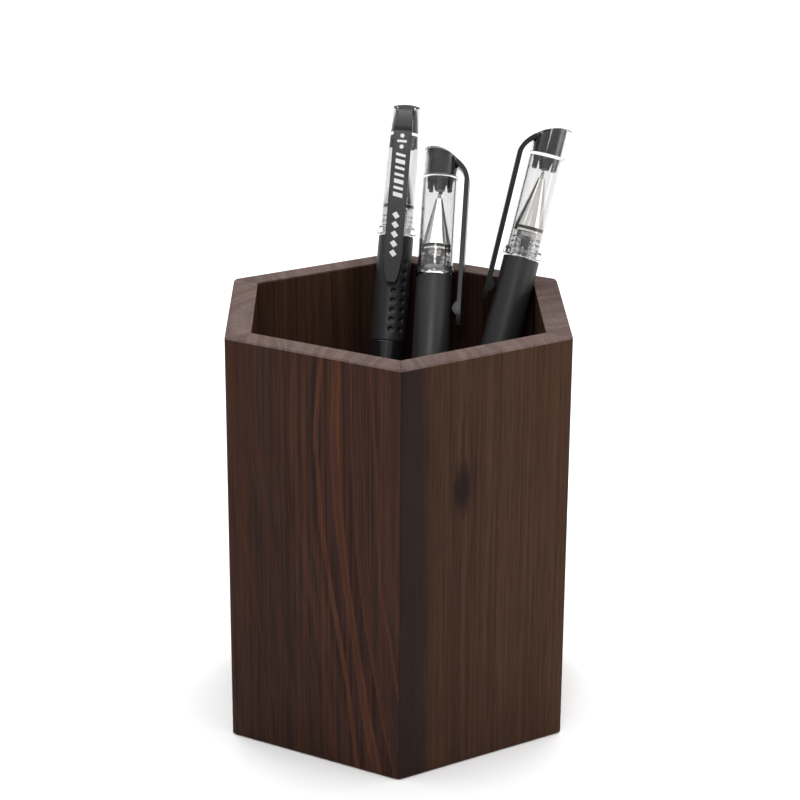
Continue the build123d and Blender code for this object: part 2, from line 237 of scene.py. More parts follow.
# Year lines: shells round the heart of the tree, bent along the board and a little wavy.
down = calc(t, "SUBTRACT", 1.0, calc(t, "DIVIDE", board[2], CUP_HEIGHT))
lean = calc(t, "MULTIPLY", calc(t, "MULTIPLY", down, down), given["Bend"])
wave = calc(t, "MULTIPLY_ADD", noise(t, stretched(t, seeded, (28, 28, 14)), 2), 0.010, -0.005)
wave_fine = calc(t, "MULTIPLY_ADD", noise(t, stretched(t, seeded, (160, 160, 36)), 2),
                 0.0016, -0.0008)
across = calc(t, "SUBTRACT", calc(t, "ADD", calc(t, "ADD", board[1], wave), wave_fine), lean)
across = calc(t, "SUBTRACT", across, calc(t, "MULTIPLY", knot_push, knot_side))
from_heart = calc(t, "SUBTRACT", across, given["Heart Across"])
deep = calc(t, "SUBTRACT", board[0], 0.010)
ring = calc(t, "SQRT", calc(t, "ADD", calc(t, "MULTIPLY", from_heart, from_heart),
                            calc(t, "MULTIPLY", deep, deep)))
ring_steps = calc(t, "ADD", calc(t, "DIVIDE", ring, given["Line Width"]), given["Seed"])
lines = add(t, "TexNoise", {"W": ring_steps, "Scale": 1.0, "Detail": 3.0, "Roughness": 0.62},
            noise_dimensions="1D").outputs["Fac"]
dark_lines = spread(t, lines, 0.50, 0.38, 0.0, 1.0)
light_lines = spread(t, lines, 0.52, 0.64, 0.0, 1.0)
off_figure = calc(t, "DIVIDE", calc(t, "SUBTRACT", across, given["Figure At"]),
                  given["Figure Spread"])
window = spread(t, calc(t, "ABSOLUTE", off_figure), 0.35, 1.3, 1.0, 0.22)
figure = calc(t, "MULTIPLY", window, given["Figure"])

# Fibres and pores run up the board, and the tone drifts over it.
fibre = noise(t, stretched(t, seeded, (1150, 1150, 7)), 3, 0.6)
hair = noise(t, stretched(t, seeded, (2600, 2600, 34)), 2, 0.6)
pores = noise(t, stretched(t, seeded, (3400, 3400, 70)), 1, 0.5)
pore = spread(t, pores, 0.60, 0.72)
drift = noise(t, stretched(t, seeded, (34, 34, 7)), 2, 0.5)
blotch = noise(t, stretched(t, seeded, (120, 120, 60)), 2, 0.5)

long_grain = mix(t, calc(t, "MULTIPLY", dark_lines, figure), given["Mid"], given["Dark"])
long_grain = mix(t, calc(t, "MULTIPLY", light_lines, figure), long_grain, given["Light"])
long_grain = mix(t, spread(t, fibre, 0.34, 0.66, 0.0, 0.50), long_grain, given["Light"])
long_grain = mix(t, spread(t, hair, 0.62, 0.30, 0.0, 0.30), long_grain, given["Dark"])
long_grain = mix(t, calc(t, "MULTIPLY", pore, 0.36), long_grain, given["Dark"])
tone = spread(t, drift, 0.3, 0.7, 0.84, 1.16)
tone = calc(t, "MULTIPLY", tone, spread(t, blotch, 0.3, 0.7, 0.95, 1.05))
edge_at = calc(t, "ADD", calc(t, "MULTIPLY_ADD", wave, 1.6, board[1]), HALF_WIDTH)
strip = calc(t, "MULTIPLY", spread(t, edge_at, 0.003, 0.0110, 1.0, 0.0), given["Edge Strip"])
long_grain = mix(t, strip, long_grain, STRIP_TONE)
long_grain = mix(t, knot_core, long_grain, KNOT_TONE)

# End grain on the rim and the foot, with year lines and dots for pores. Its paler tone is partly
# the end grain's own and partly painted light: the brightness of the rim lit from above.
end_grain_toplit_share = calc(t, "MAXIMUM", spread(t, board[2], RIM_FROM, RIM_FROM + 0.0002),
               spread(t, board[2], FOOT_TO, FOOT_TO - 0.0002))
dots = noise(t, stretched(t, seeded, (2300, 2300, 200)), 2, 0.6)
end_grain_toplit_tone = mix(t, spread(t, lines, 0.35, 0.65, 0.0, 0.55), END_GRAIN_TOPLIT_DARK, END_GRAIN_TOPLIT_LIGHT)
end_grain_toplit_tone = mix(t, spread(t, dots, 0.52, 0.66, 0.0, 0.6), end_grain_toplit_tone, END_GRAIN_TOPLIT_PORE)
grain = mix(t, end_grain_toplit_share, long_grain, end_grain_toplit_tone)

# The glue line where two boards meet.
gap_to_mitre = calc(t, "SUBTRACT", calc(t, "MULTIPLY", board[0], 0.5),
                    calc(t, "MULTIPLY", calc(t, "ABSOLUTE", board[1]), MITRE_COSINE))
glue = spread(t, gap_to_mitre, 0.00002, 0.00016, 0.42, 0.0)
grain = mix(t, glue, grain, GLUE_TONE)
shade = add(t, "CombineXYZ", {0: tone, 1: tone, 2: tone}).outputs[0]
linked(t, out["Color"], mix(t, 1.0, grain, shade, "MULTIPLY"))
rough = calc(t, "ADD", spread(t, fibre, 0.3, 0.7, 0.50, 0.62), calc(t, "MULTIPLY", pore, 0.15))
linked(t, out["Roughness"], rough)
height = calc(t, "SUBTRACT", calc(t, "MULTIPLY", fibre, 0.35), pore)
height = calc(t, "SUBTRACT", height, calc(t, "MULTIPLY", glue, 2.0))
linked(t, out["Height"], height)


def place_group(tree, group, vector, **values):
    """Puts a node group in a material, with the piece's own values."""
    node = tree.nodes.new("ShaderNodeGroup")
    node.node_tree = group
    tree.links.new(vector, node.inputs["Vector"])
    for name, value in values.items():
        node.inputs[name.replace("_", " ")].default_value = value
    return node.outputs


def new_material(name):
    """A new material with its node tree and the inputs of its shader."""
    material = bpy.data.materials.new(name)
    material.use_nodes = True
    tree = material.node_tree
    return material, tree, tree.nodes["Principled BSDF"].inputs


def bumped(tree, height, normal, depth):
    """Puts a relief of the given depth, in metres, on a shader's normal."""
    bump = add(tree, "Bump", {"Height": height, "Strength": 1.0, "Distance": depth})
    tree.links.new(bump.outputs[0], normal)


GRAIN_DEPTH, OIL_SHEEN = 0.00006, 0.04


def walnut_material(name, rotation, location=(0, 0, 0), **figure):
    """Oiled walnut, its pattern turned and moved to suit the board."""
    material, tree, shader = new_material(name)
    coordinates = add(tree, "TexCoord")
    turned_to = add(tree, "Mapping", {"Vector": coordinates.outputs["Object"],
                                      "Location": location, "Rotation": rotation})
    wood = place_group(tree, walnut, turned_to.outputs[0], **figure)
    tree.links.new(wood["Color"], shader["Base Color"])
    tree.links.new(wood["Roughness"], shader["Roughness"])
    bumped(tree, wood["Height"], shader["Normal"], GRAIN_DEPTH)
    shader["Specular IOR Level"].default_value = OIL_SHEEN
    return material


def dress(node, material):
    """Gives a CAD node its finish."""
    for slot in frame["nodes"][node].material_slots:
        slot.material = material


PLUM_DARK = (0.0165, 0.0088, 0.0080, 1)
PLUM_MID = (0.0295, 0.0162, 0.0130, 1)
PLUM_LIGHT = (0.0780, 0.0290, 0.0160, 1)
WARM_DARK = (0.0200, 0.0112, 0.0095, 1)
WARM_MID = (0.0455, 0.0220, 0.0134, 1)
WARM_LIGHT = (0.0720, 0.0375, 0.0215, 1)
STAVES = {
    "front_left": (240, dict(
        Seed=3.1, Heart_Across=0.085, Bend=0.012, Line_Width=0.0027, Figure=0.85, Figure_At=0.008,
        Figure_Spread=0.014, Dark=PLUM_DARK, Mid=PLUM_MID, Light=PLUM_LIGHT)),
    "front_right": (-60, dict(
        Seed=7.4, Heart_Across=-0.12, Bend=0.002, Line_Width=0.0028, Figure=0.35, Figure_At=-0.012,
        Figure_Spread=0.02, Dark=WARM_DARK, Mid=WARM_MID, Light=WARM_LIGHT, Edge_Strip=0.85,
        Knot_Across=-0.0065, Knot_Up=0.0745, Knot=0.95)),
    "right": (0, dict(
        Seed=12.8, Heart_Across=0.05, Bend=-0.006, Line_Width=0.004, Figure=0.7, Figure_At=0.006,
        Figure_Spread=0.016, Dark=PLUM_DARK, Mid=WARM_MID, Light=WARM_LIGHT)),
    "back_right": (60, dict(
        Seed=18.2, Heart_Across=0.0, Bend=0.010, Line_Width=0.0038, Figure=0.9, Figure_At=0.0,
        Figure_Spread=0.018, Dark=PLUM_DARK, Mid=PLUM_MID, Light=PLUM_LIGHT)),
    "back_left": (120, dict(
        Seed=23.9, Heart_Across=-0.07, Bend=-0.010, Line_Width=0.0034, Figure=0.6, Figure_At=-0.006,
        Figure_Spread=0.018, Dark=WARM_DARK, Mid=WARM_MID, Light=WARM_LIGHT)),
    "left": (180, dict(
        Seed=31.5, Heart_Across=0.01, Bend=-0.008, Line_Width=0.0042, Figure=0.85, Figure_At=0.004,
        Figure_Spread=0.016, Dark=PLUM_DARK, Mid=PLUM_MID, Light=PLUM_LIGHT)),
}
for side, (turn, figure) in STAVES.items():
    dress("stave_" + side, walnut_material("walnut_" + side, (0, 0, -radians(turn)), **figure))

# ---------------------------------------------------------------- The floor panel
# A hexagon of the same walnut, glued into the rebate round the foot of the staves, with
# its grain lying flat.

dress("floor_panel", walnut_material(
    "walnut_floor", (0, radians(90), 0), (0.02, 0.0, 0.05), Seed=41.0, Heart_Across=0.09,
    Bend=0.004, Line_Width=0.004, Figure=0.7, Figure_Spread=0.03, Dark=PLUM_DARK, Mid=PLUM_MID,
    Light=PLUM_LIGHT))

# ---------------------------------------------------------------- Where the pens stand
# Three gel pens lean in the cup. Each piece is made once, standing on the origin with its
# clip towards +X, in millimetres along the pen, and copied to where the frame has it.

BALL_AT = 137.1
CLIP_WAY = {"left": -96.0, "middle": -8.0, "right": 180.0}


def pen_frame(side):
    """Where a pen stands: from its own millimetres to its place in the frame."""
    low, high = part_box(side + "_ball")
    joint = next(j for j in frame["joints"] if j["name"] == side + "_cap_pull")
    along = Vector(joint["axis"]).normalized()
    towards = Vector((cos(radians(CLIP_WAY[side])), sin(radians(CLIP_WAY[side])), 0))
    towards = (towards - along * towards.dot(along)).normalized()
    foot = (low + high) / 2 - along * (BALL_AT / 1000)
    turn = Matrix((towards, along.cross(towards), along)).transposed().to_4x4()
    return Matrix.Translation(foot) @ turn @ Matrix.Scale(0.001, 4)


PEN_FRAMES = {side: pen_frame(side) for side in CLIP_WAY}


def stand_in_pens(master, piece_name, part, body, material,
                  sides=("left", "middle", "right"), replaced=True):
    """Copies a finished piece into each pen, gives it its material and its body."""
    for side in sides:
        piece = bpy.data.objects.new(side + "_" + piece_name, master.data.copy())
        scene.collection.objects.link(piece)
        piece.data.transform(PEN_FRAMES[side])
        piece.data.materials.clear()
        piece.data.materials.append(material)
        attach(piece, side + "_" + body)
        if replaced:
            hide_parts(side + "_" + part)
    bpy.data.objects.remove(master)


# ---------------------------------------------------------------- Barrels and end plugs
# The barrel is an extruded tube of gloss black plastic, stepped down at the top for the
# grip. A domed plug of the same black is pressed into its foot.

TINY = 0.0005          # millimetres, the ring that is merged to a point on the axis


def tidy(angle=35.0):
    """Closes poles and seams of the piece in hand, turns its faces out, smooths it."""
    bpy.ops.object.mode_set(mode="EDIT")
    bpy.ops.mesh.select_all(action="SELECT")
    bpy.ops.mesh.remove_doubles(threshold=4 * TINY)
    bpy.ops.mesh.delete_loose(use_verts=True, use_edges=True, use_faces=False)
    bpy.ops.mesh.select_all(action="SELECT")
    bpy.ops.mesh.normals_make_consistent(inside=False)
    bpy.ops.object.mode_set(mode="OBJECT")
    bpy.ops.object.shade_smooth_by_angle(angle=radians(angle))


def use(piece):
    """Makes a piece the only one in hand."""
    bpy.ops.object.select_all(action="DESELECT")
    piece.select_set(True)
    bpy.context.view_layer.objects.active = piece


def applied(piece, kind, **settings):
    """Adds a modifier to a piece and applies it."""
    use(piece)
    modifier = piece.modifiers.new(kind.lower(), kind)
    for name, value in settings.items():
        setattr(modifier, name, value)
    bpy.ops.object.modifier_apply(modifier=modifier.name)


def eased(piece, width, steps=2):
    """Rounds a piece's sharp edges and shades it smooth between them."""
    applied(piece, "BEVEL", width=width, segments=steps, limit_method="ANGLE",
            angle_limit=radians(40))
    bpy.ops.object.shade_smooth_by_angle(angle=radians(50))
    applied(piece, "WEIGHTED_NORMAL", keep_sharp=True)


def turned(name, rings, segments=96, ease=0.0, steps=2):
    """A turned piece: a circle drawn out from ring to ring, (radius, height) by pair.
    The rings run once round the wall's section, so the last one meets the first."""
    rings = [(max(radius, TINY), height) for radius, height in rings]
    radius, height = rings[0]
    bpy.ops.object.select_all(action="DESELECT")
    bpy.ops.mesh.primitive_circle_add(vertices=segments, radius=radius, location=(0, 0, 0))
    piece = bpy.context.object
    piece.name = name
    bpy.ops.object.mode_set(mode="EDIT")
    bpy.ops.mesh.select_all(action="SELECT")
    bpy.ops.transform.translate(value=(0, 0, height))
    for next_radius, next_height in rings[1:]:
        bpy.ops.mesh.extrude_region_move(
            TRANSFORM_OT_translate={"value": (0, 0, next_height - height)})
        grow = next_radius / radius
        bpy.ops.transform.resize(value=(grow, grow, 1), center_override=(0, 0, next_height))
        radius, height = next_radius, next_height
    bpy.ops.object.mode_set(mode="OBJECT")
    tidy()
    if ease:
        eased(piece, ease, steps)
    else:
        applied(piece, "WEIGHTED_NORMAL", keep_sharp=True)
    return piece


# Moulded plastic: a faint orange-peel, hair scratches and a little dust.
moulded, given, out = new_group(
    "moulded",
    [("Vector", "Vector", None), ("Seed", "Float", 0.0), ("Tone", "Color", (0.02, 0.02, 0.02, 1)),
     ("Dust Tone", "Color", (0.25, 0.24, 0.22, 1)), ("Dust", "Float", 0.3),
     ("Polish", "Float", 0.2), ("Haze", "Float", 0.08), ("Scratches", "Float", 0.5)],
    [("Color", "Color"), ("Roughness", "Float"), ("Height", "Float")])
t = moulded
seeded = add(t, "VectorMath", {0: given["Vector"],
                               1: add(t, "CombineXYZ", {0: given["Seed"], 1: 0.0,
                                                        2: given["Seed"]}).outputs[0]},
             operation="ADD").outputs[0]
peel = noise(t, stretched(t, seeded, (700, 700, 700)), 2, 0.5)
haze = noise(t, stretched(t, seeded, (90, 90, 60)), 3, 0.6)
scratch = add(t, "TexVoronoi", {"Vector": stretched(t, seeded, (420, 420, 60)), "Scale": 1.0},
              feature="DISTANCE_TO_EDGE").outputs["Distance"]
scratch = calc(t, "MULTIPLY", spread(t, scratch, 0.0, 0.02, 1.0, 0.0),
               calc(t, "MULTIPLY", spread(t, haze, 0.5, 0.62), given["Scratches"]))
speck = spread(t, noise(t, stretched(t, seeded, (2600, 2600, 2600)), 1, 0.5), 0.70, 0.76)
speck = calc(t, "MULTIPLY", speck, spread(t, haze, 0.45, 0.65))
speck = calc(t, "MULTIPLY", speck, given["Dust"])
tinted = mix(t, calc(t, "MULTIPLY", scratch, 0.10), given["Tone"], given["Dust Tone"])
linked(t, out["Color"], mix(t, speck, tinted, given["Dust Tone"]))
dulled = calc(t, "ADD", given["Polish"], calc(t, "MULTIPLY", spread(t, haze, 0.3, 0.7),
                                              given["Haze"]))
worn = calc(t, "MULTIPLY", calc(t, "ADD", scratch, speck), 0.3)
linked(t, out["Roughness"], calc(t, "ADD", dulled, worn))
linked(t, out["Height"], calc(t, "SUBTRACT", peel, scratch))


def plastic(name, seed, tone, polish, haze, depth, dust=0.3, scratches=0.5):
    """A moulded black or white plastic or rubber."""
    material, tree, shader = new_material(name)
    surface = place_group(tree, moulded, add(tree, "TexCoord").outputs["Object"], Seed=seed,
                          Tone=(*tone, 1), Polish=polish, Haze=haze, Dust=dust,
                          Scratches=scratches)
    tree.links.new(surface["Color"], shader["Base Color"])
    tree.links.new(surface["Roughness"], shader["Roughness"])
    bumped(tree, surface["Height"], shader["Normal"], depth)
    return material, shader


BARREL_R, BORE_R, SEAT_R, BARREL_EASE = 4.55, 3.45, 3.8, 0.12
PLUG_HEAD, GRIP_FOOT, GRIP_TOP = 1.6, 86.3, 114.3
gloss_black, gloss_shader = plastic("barrel_black", 1.0, (0.010, 0.010, 0.011), 0.16, 0.07,
                                    0.000004)
gloss_shader["Coat Weight"].default_value = 0.3
gloss_shader["Coat Roughness"].default_value = 0.08

barrel = turned("barrel", [(BARREL_R, PLUG_HEAD), (BARREL_R, GRIP_FOOT), (SEAT_R, GRIP_FOOT),
                           (SEAT_R, GRIP_TOP), (BORE_R, GRIP_TOP), (BORE_R, PLUG_HEAD),
                           (BARREL_R, PLUG_HEAD)], ease=BARREL_EASE)
stand_in_pens(barrel, "barrel_tube", "barrel", "pen", gloss_black)

PLUG_R, PLUG_BORE_R, PLUG_TOP = 3.41, 2.68, 8.4
end_plug = turned("end_plug", [(0, 0), (3.59, 0), (4.15, 0.16), (4.45, 0.55), (BARREL_R, 0.96),
                               (BARREL_R, PLUG_HEAD), (PLUG_R, PLUG_HEAD), (PLUG_R, PLUG_TOP),
                               (PLUG_BORE_R, PLUG_TOP), (PLUG_BORE_R, PLUG_HEAD), (0, PLUG_HEAD)],
                  ease=0.08)
stand_in_pens(end_plug, "foot_plug", "end_plug", "pen", gloss_black)

# ---------------------------------------------------------------- Grips
# Sleeves of soft black rubber, pulled over the step in the barrel. Two are plain and one
# is moulded with two pairs of columns of oval dimples.

GRIP_R, GRIP_BORE_R = 4.7, 3.84
rubber, rubber_shader = plastic("grip_rubber", 4.0, (0.021, 0.021, 0.0225), 0.40, 0.10, 0.00001,
                                dust=0.45, scratches=0.15)
rubber_shader["Specular IOR Level"].default_value = 0.45

grip_rings = [(GRIP_R - 0.28, GRIP_FOOT), (GRIP_R - 0.08, GRIP_FOOT + 0.08),
              (GRIP_R, GRIP_FOOT + 0.3)]
plain_grip = turned("plain_grip", [*grip_rings, (GRIP_R, GRIP_TOP - 0.3),
                                   (GRIP_R - 0.08, GRIP_TOP - 0.08), (GRIP_R - 0.28, GRIP_TOP),
                                   (GRIP_BORE_R, GRIP_TOP), (GRIP_BORE_R, GRIP_FOOT),
                                   (GRIP_R - 0.28, GRIP_FOOT)], ease=0.05)
stand_in_pens(plain_grip, "plain_grip", "grip", "pen", rubber,
              sides=("middle", "right"))


def place_round(point, places):
    """Which of a number of even places round the pen a point lies at."""
    return (atan2(point.y, point.x) % (2 * pi)) / (2 * pi) * places


def pick_no_faces():
    """Clears the selection, so that faces can be picked by their place."""
    bpy.ops.object.mode_set(mode="EDIT")
    bpy.ops.mesh.select_mode(type="FACE")
    bpy.ops.mesh.select_all(action="DESELECT")
    bpy.ops.object.mode_set(mode="OBJECT")


DIMPLE_COLUMNS = 20            # places for columns round the grip, every 18 degrees
FIRST_ROW, ROW_PITCH, ROWS, ROW_HALF = 89.4, 2.52, 8, 0.62
COLUMN_PLACES = (0, 2, 10, 12)          # two columns of dimples on each of two sides
DIMPLE_STEPS = ((0.07, -0.42), (0.20, -0.20))       # rim and depth of each inset
DIMPLES_TURN = radians(1)
heights = [GRIP_FOOT + 0.6]
for row in range(ROWS):
    middle = FIRST_ROW + row * ROW_PITCH
    heights += [middle - ROW_HALF, middle + ROW_HALF]
dimpled = turned("dimpled_grip", [*grip_rings, *[(GRIP_R, h) for h in heights],
                                  (GRIP_R, GRIP_TOP - 0.3), (GRIP_R - 0.08, GRIP_TOP - 0.08),
                                  (GRIP_R - 0.28, GRIP_TOP), (GRIP_BORE_R, GRIP_TOP),
                                  (GRIP_BORE_R, GRIP_FOOT), (GRIP_R - 0.28, GRIP_FOOT)],
                 segments=DIMPLE_COLUMNS)
pick_no_faces()
for face in dimpled.data.polygons:
    middle = face.center
    column = int(place_round(middle, DIMPLE_COLUMNS))
    row = round((middle.z - FIRST_ROW) / ROW_PITCH)
    on_row = abs(middle.z - FIRST_ROW - row * ROW_PITCH) < 0.1 and 0 <= row < ROWS
    outside = middle.x ** 2 + middle.y ** 2 > (GRIP_R - 0.2) ** 2
    face.select = outside and on_row and column in COLUMN_PLACES
bpy.ops.object.mode_set(mode="EDIT")
for rim, depth in DIMPLE_STEPS:
    bpy.ops.mesh.inset(thickness=rim, use_individual=True)
    bpy.ops.transform.shrink_fatten(value=depth)
bpy.ops.mesh.select_mode(type="VERT")
bpy.ops.object.mode_set(mode="OBJECT")
applied(dimpled, "SUBSURF", levels=2, render_levels=2)
dimpled.data.transform(Matrix.Rotation(DIMPLES_TURN, 4, "Z"))
stand_in_pens(dimpled, "dimpled_grip", "grip", "pen", rubber, sides=("left",))

# ---------------------------------------------------------------- Clear sections
# A clear moulding screws into the top of the barrel. Its threaded collar, drawn with plain
# ridges, stands above the grip and shows the refill's neck and the ink in it.

SECTION_R, THREAD_R, SECTION_TOP, THREAD_PITCH, THREADS = 3.65, 3.85, 121.1, 1.3, 4
SECTION_FOOT, REFILL_ROOM_R, CONE_ROOM_R, NECK_FOOT = 106.3, 2.68, 2.29, 115.1
RIDGE_HALF, RIDGE_CREST = 0.24, 0.05


def clear_plastic(name, seed, roughness, tint):
    material, tree, shader = new_material(name)
    surface = place_group(tree, moulded, add(tree, "TexCoord").outputs["Object"], Seed=seed,
                          Tone=(*tint, 1), Dust_Tone=(0.9, 0.9, 0.9, 1), Polish=roughness,
                          Haze=0.03, Dust=0.12, Scratches=0.25)
    tree.links.new(surface["Color"], shader["Base Color"])
    tree.links.new(surface["Roughness"], shader["Roughness"])
    bumped(tree, surface["Height"], shader["Normal"], 0.000003)
    shader["Transmission Weight"].default_value = 1.0
    shader["IOR"].default_value = 1.5
    return material


# The grey tint of the clear plastic is painted shade: it dims the bright floor seen through the
# collars and caps.
clear = clear_plastic("clear_plastic", 9.0, 0.02, (0.78, 0.775, 0.78))
threads = []
for turn in range(THREADS):
    middle = GRIP_TOP + (turn + 1) * THREAD_PITCH
    threads += [(SECTION_R, middle - RIDGE_HALF), (THREAD_R, middle - RIDGE_CREST),
                (THREAD_R, middle + RIDGE_CREST), (SECTION_R, middle + RIDGE_HALF)]
collar = turned("section", [(REFILL_ROOM_R, SECTION_FOOT), (3.41, SECTION_FOOT), (3.41, GRIP_TOP),
                            (SECTION_R, GRIP_TOP), *threads, (SECTION_R, SECTION_TOP),
                            (CONE_ROOM_R, SECTION_TOP), (CONE_ROOM_R, NECK_FOOT),
                            (REFILL_ROOM_R, NECK_FOOT), (REFILL_ROOM_R, SECTION_FOOT)])
stand_in_pens(collar, "clear_collar", "section", "pen", clear)

# ---------------------------------------------------------------- Cones and neck rings
# The nose cone is turned from brass and chromed, and pressed into the collar with a flange
# and a waist. A black rubber ring fills the waist.

CONE_R, NECK_R, NOSE_R, FLANGE_TOP, CONE_BASE, CONE_TOP = 3.85, 2.6, 0.95, 121.7, 122.5, 135.5
SPIGOT_R, SPIGOT_BORE_R, SPIGOT_FOOT = 2.25, 1.8, 119.9
NOSE_BORE_R, BORE_NARROWS = 0.65, 127.9
RING_R, RING_BORE_R, RING_ROUND = 3.70, 2.64, 0.08


def keep_height(piece, name="along"):
    """Notes each point's height on the piece, in millimetres, for rings of tool marks."""
    marks = piece.data.attributes.new(name, "FLOAT", "POINT")
    marks.data.foreach_set("value", [point.co.z for point in piece.data.vertices])


cone = turned("cone", [(SPIGOT_BORE_R, SPIGOT_FOOT), (SPIGOT_R, SPIGOT_FOOT),
                       (SPIGOT_R, SECTION_TOP), (CONE_R, SECTION_TOP), (CONE_R, FLANGE_TOP),
                       (NECK_R, FLANGE_TOP), (NECK_R, CONE_BASE), (CONE_R, CONE_BASE),
                       (3.14, 125.8), (2.41, 129.1), (1.65, 132.5), (NOSE_R, CONE_TOP),
                       (NOSE_BORE_R, CONE_TOP), (SPIGOT_BORE_R, BORE_NARROWS),
                       (SPIGOT_BORE_R, SPIGOT_FOOT)], ease=0.10, steps=3)
keep_height(cone)
chrome, tree, shader = new_material("chromed_cone")
up_cone = add(tree, "Attribute", attribute_name="along").outputs["Fac"]
tool_marks = add(tree, "TexNoise", {"W": up_cone, "Scale": 9.0, "Detail": 3.0},
                 noise_dimensions="1D").outputs["Fac"]
surface = place_group(tree, moulded, add(tree, "TexCoord").outputs["Object"], Seed=14.0,
                      Tone=(0.86, 0.85, 0.80, 1), Dust_Tone=(0.55, 0.54, 0.50, 1), Polish=0.06,
                      Haze=0.05, Dust=0.25, Scratches=0.4)
tree.links.new(surface["Color"], shader["Base Color"])
tree.links.new(calc(tree, "ADD", surface["Roughness"], calc(tree, "MULTIPLY", tool_marks, 0.06)),
               shader["Roughness"])
bumped(tree, calc(tree, "ADD", surface["Height"], tool_marks), shader["Normal"], 0.000002)
shader["Metallic"].default_value = 1.0
stand_in_pens(cone, "nose", "nose_cone", "pen", chrome)

ring = turned("ring", [(RING_BORE_R, FLANGE_TOP), (RING_R - RING_ROUND, FLANGE_TOP),
                       (RING_R, 121.85), (RING_R, 122.35), (RING_R - RING_ROUND, CONE_BASE),
                       (RING_BORE_R, CONE_BASE), (RING_BORE_R, FLANGE_TOP)], ease=0.04)
stand_in_pens(ring, "waist_ring", "neck_ring", "pen", rubber)

# ---------------------------------------------------------------- Refills
# A milky plastic tube of black gel ink with a plug of clear grease behind it. A metal tip
# with a hard ball is pressed into its neck.

milky, tree, shader = new_material("refill_plastic")
surface = place_group(tree, moulded, add(tree, "TexCoord").outputs["Object"], Seed=20.0,
                      Tone=(0.92, 0.93, 0.92, 1), Polish=0.06, Haze=0.05, Dust=0.1)
tree.links.new(surface["Color"], shader["Base Color"])
tree.links.new(surface["Roughness"], shader["Roughness"])
bumped(tree, surface["Height"], shader["Normal"], 0.000003)
shader["Transmission Weight"].default_value = 1.0
black_ink, _ = plastic("black_ink", 23.0, (0.006, 0.006, 0.008), 0.10, 0.05, 0.000002,
                       dust=0.0, scratches=0.0)
grease, grease_shader = plastic("follower_grease", 26.0, (0.62, 0.58, 0.42), 0.12, 0.06, 0.000004,
                                dust=0.0, scratches=0.0)
grease_shader["Subsurface Weight"].default_value = 0.3
grease_shader["Subsurface Radius"].default_value = (0.001, 0.0008, 0.0004)
tip_metal, tip_shader = plastic("tip_metal", 29.0, (0.56, 0.54, 0.50), 0.18, 0.10, 0.000002,
                                dust=0.1)
tip_shader["Metallic"].default_value = 1.0
carbide, ball_shader = plastic("ball_carbide", 31.0, (0.30, 0.30, 0.31), 0.12, 0.06, 0.000001,
                               dust=0.0)
ball_shader["Metallic"].default_value = 1.0
for side in CLIP_WAY:
    for part, material in (("refill_tube", milky), ("ink", black_ink), ("grease", grease),
                           ("tip", tip_metal), ("ball", carbide)):
        dress(side + "_" + part, material)

# ---------------------------------------------------------------- Cap tubes
# A clear moulded tube with a rolled lip, a thin web across it and a top cut to the slanted
# curve of the clip's back. The left pen's cap is drawn in at the top, to a low dome.

CREST = [Vector((-4.8, 149.0)), Vector((1.6, 147.9)), Vector((6.05, 144.7)), Vector((7.75, 140.8))]
CREST_WAY = [Vector((1, 0.08)).normalized(), (CREST[2] - CREST[0]).normalized(),
             (CREST[3] - CREST[1]).normalized(), Vector((0.02, -1)).normalized()]
CREST_STEPS = 8


def crest_line():
    """Points and directions along the curve over the cap's top, from the back to the clip."""
    line = []
    for start, end, way_in, way_out in zip(CREST, CREST[1:], CREST_WAY, CREST_WAY[1:]):
        span = (end - start).length
        for step in range(CREST_STEPS):
            u = step / CREST_STEPS
            point = (2 * u ** 3 - 3 * u ** 2 + 1) * start
            point += (u ** 3 - 2 * u ** 2 + u) * span * way_in
            point += (3 * u ** 2 - 2 * u ** 3) * end
            point += (u ** 3 - u ** 2) * span * way_out
            line.append(point)
    return line + [CREST[-1]]


crest = crest_line()


def crest_height(x):
    """The height of the cap's top at a distance in front of the pen's axis."""
    for before, after in zip(crest, crest[1:]):
        if x <= after.x:
            share = (x - before.x) / (after.x - before.x)
            return before.y + share * (after.y - before.y)
    return crest[-1].y


LIP, TUBE_R, TUBE_BORE_R, PEN_TOP = 114.6, 4.7, 3.95, 149.0
WEB_FOOT, WEB_TOP, PLUG_BORE = 140.9, 141.7, 3.49
STRAP_HALF, STRAP_DEPTH, CREST_GAP = 2.4, 1.25, 0.06
rolled_lip = [(TUBE_BORE_R, LIP + 0.1), (TUBE_BORE_R + 0.1, LIP), (4.86, LIP), (5.12, LIP + 0.08),
              (5.27, LIP + 0.35), (5.30, LIP + 0.75), (5.20, LIP + 1.15), (4.98, LIP + 1.5),
              (4.79, LIP + 1.85), (TUBE_R, LIP + 2.4)]
tube = turned("tube", [*rolled_lip, (TUBE_R, PEN_TOP), (PLUG_BORE, PEN_TOP), (PLUG_BORE, WEB_TOP),
                       (0, WEB_TOP), (0, WEB_FOOT), (TUBE_BORE_R, WEB_FOOT), rolled_lip[0]],
              segments=128)
for point in tube.data.vertices:
    if point.co.z > PEN_TOP - 0.01:
        under_strap = point.co.x > 0 and abs(point.co.y) < STRAP_HALF + 0.08
        point.co.z = crest_height(point.co.x) - (STRAP_DEPTH + CREST_GAP if under_strap else 0)
eased(tube, 0.07)

DOME_TAPER, DOME_RISE = 0.28, 1.1


def domed(master):
    """A copy of a cap piece with its top drawn in and rounded."""
    piece = bpy.data.objects.new(master.name + "_domed", master.data.copy())
    scene.collection.objects.link(piece)
    for point in piece.data.vertices:
        share = min(max((point.co.z - WEB_TOP) / (PEN_TOP - WEB_TOP), 0), 1)
        point.co.y *= 1 - DOME_TAPER * share
        point.co.z += DOME_RISE * share * (1 - (point.co.y / TUBE_R) ** 2)
    applied(piece, "WEIGHTED_NORMAL", keep_sharp=True)
    return piece


